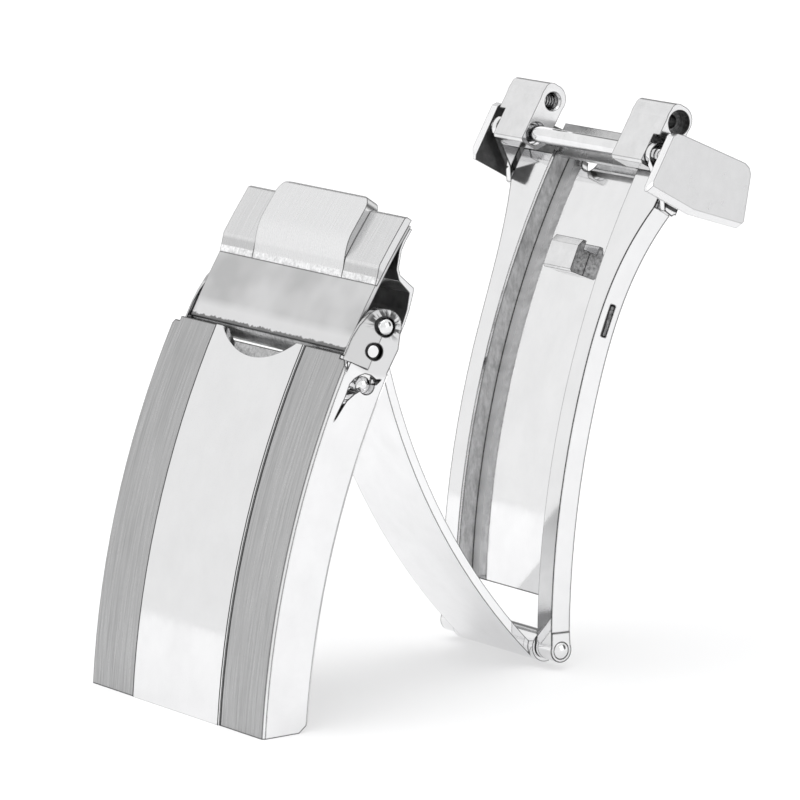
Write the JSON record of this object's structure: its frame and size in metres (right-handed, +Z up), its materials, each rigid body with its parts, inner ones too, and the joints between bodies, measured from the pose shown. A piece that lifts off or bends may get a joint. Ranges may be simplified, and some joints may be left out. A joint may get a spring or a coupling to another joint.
{
  "type": "watch clasp",
  "caption": "Fold-over watch clasp with a curved cover, flip-over safety catch, two folding blades with hook, and hinged bracelet end links, standing open.",
  "frame": {"origin": "on the floor below the middle of the open clasp's box", "axes": "+X across the clasp, +Y from the cover toward the outer blade, +Z up"},
  "size_m": [0.0184, 0.0322, 0.0305],
  "materials": {
    "brushed_lane_steel": "long straight brush lines along the clasp",
    "brushed_light_steel": "fine light brush lines",
    "polished_steel": "mirror polished with hairline wear",
    "satin_steel": "satin, softly polished",
    "matte_steel": "dull blasted face with a rough rolled edge",
    "spring_steel": "dull hardened spring steel"
  },
  "bodies": {
    "cover": {"cover_shell": "brushed_lane_steel", "cover_center_strip": "polished_steel", "hook_keeper": "satin_steel", "keeper_bar": "polished_steel", "catch_spring": "spring_steel", "blade_pin": "polished_steel", "catch_pin": "satin_steel", "spring_bar_tube": "satin_steel", "spring_bar_spring": "spring_steel"},
    "plunger_left": {"spring_bar_plunger_left": "satin_steel"},
    "plunger_right": {"spring_bar_plunger_right": "satin_steel"},
    "catch": {"catch_plate": "matte_steel", "catch_back_plate": "polished_steel", "catch_lobe_left": "brushed_lane_steel", "catch_lobe_right": "brushed_lane_steel", "catch_lobe_center": "brushed_light_steel"},
    "inner_blade": {"inner_blade": "polished_steel"},
    "outer_blade": {"outer_blade": "polished_steel", "blade_hook": "satin_steel", "fold_pin": "polished_steel", "end_rod": "polished_steel"},
    "link_left": {"end_link_left": "satin_steel"},
    "link_right": {"end_link_right": "satin_steel"},
    "shroud": {"shroud_cheek_left": "satin_steel", "shroud_cheek_right": "satin_steel", "shroud_web": "satin_steel"}
  },
  "joints": [
    {"name": "cover_hinge", "type": "hinge", "parent": "cover", "child": "inner_blade", "pos_m": [0, -0.00753, 0.02083], "axis": [1, 0, 0], "range_deg": [-44.4, 20]},
    {"name": "fold_hinge", "type": "hinge", "parent": "inner_blade", "child": "outer_blade", "pos_m": [0, 0.005, 0.00105], "axis": [1, 0, 0], "range_deg": [-18.5, 41]},
    {"name": "catch_hinge", "type": "hinge", "parent": "cover", "child": "catch", "pos_m": [0, -0.00826, 0.0196], "axis": [1, 0, 0], "range_deg": [0, 68]},
    {"name": "link_left_hinge", "type": "hinge", "parent": "outer_blade", "child": "link_left", "pos_m": [0, 0.01099, 0.02775], "axis": [1, 0, 0], "range_deg": [-15, 60]},
    {"name": "link_right_hinge", "type": "hinge", "parent": "outer_blade", "child": "link_right", "pos_m": [0, 0.01099, 0.02775], "axis": [1, 0, 0], "range_deg": [-15, 60]},
    {"name": "shroud_hinge", "type": "hinge", "parent": "outer_blade", "child": "shroud", "pos_m": [0, 0.01099, 0.02775], "axis": [1, 0, 0], "range_deg": [-12, 18]},
    {"name": "plunger_left_slide", "type": "slide", "parent": "cover", "child": "plunger_left", "axis": [1, 0, 0], "range_m": [0, 0.0006], "stiffness_N_per_m": 300, "springref_m": -0.001, "deforming": ["spring_bar_spring"]},
    {"name": "plunger_right_slide", "type": "slide", "parent": "cover", "child": "plunger_right", "axis": [-1, 0, 0], "range_m": [0, 0.0006], "stiffness_N_per_m": 300, "springref_m": -0.001, "deforming": ["spring_bar_spring"]}
  ],
  "couplings": [
    {"joint": "fold_hinge", "follows": "cover_hinge", "ratio": -0.9223}
  ]
}
